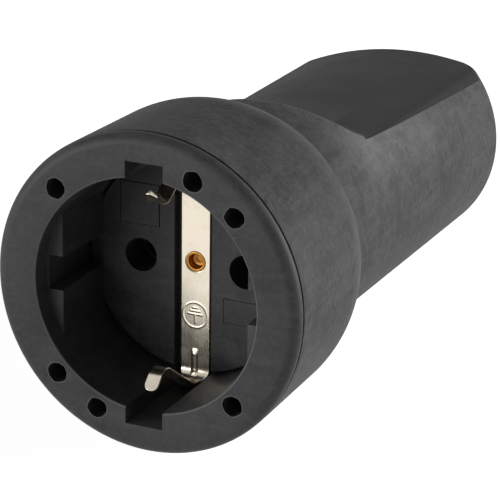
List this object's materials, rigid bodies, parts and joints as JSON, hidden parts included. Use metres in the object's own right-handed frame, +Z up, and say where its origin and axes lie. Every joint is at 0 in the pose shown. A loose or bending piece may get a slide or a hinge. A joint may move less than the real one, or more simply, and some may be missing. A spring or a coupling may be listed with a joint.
{
  "type": "rubber cable socket",
  "caption": "Rubber cable socket: round head with a deep recess, pin holes and spring earth clips, on a round handle with a flat and a cord inlet at its end.",
  "frame": {"origin": "bottom centre of the bounding box, on the ground that the socket rests on", "axes": "+Y from the ring's face towards the cord's end, +Z up, +X right seen from the front; the socket's own axis droops 3.8 degrees towards the tail, because its shoulder and tail rest on the ground"},
  "size_m": [0.0538, 0.105, 0.0545],
  "materials": {
    "rubber": "matt",
    "moulding": "matt",
    "inner_moulding": "matt",
    "nickel": "nickel-plated",
    "steel": "zinc-plated",
    "brass": "bare"
  },
  "bodies": {
    "root": {"rubber_housing": "rubber", "socket_cup": "moulding", "recess_floor": "moulding", "floor_screws": "steel", "contact_carrier": "moulding", "earth_strap": "nickel", "centre_rivet": "brass", "earth_washer": "steel", "earth_terminal": "brass", "contact_left": "brass", "contact_right": "brass", "contact_spring_left": "steel", "contact_spring_right": "steel", "terminal_screws": "steel", "terminal_cover": "inner_moulding", "cover_screws": "steel", "cord_clamp_bar": "inner_moulding", "clamp_screws": "steel", "clamp_nuts": "steel"}
  },
  "joints": []
}
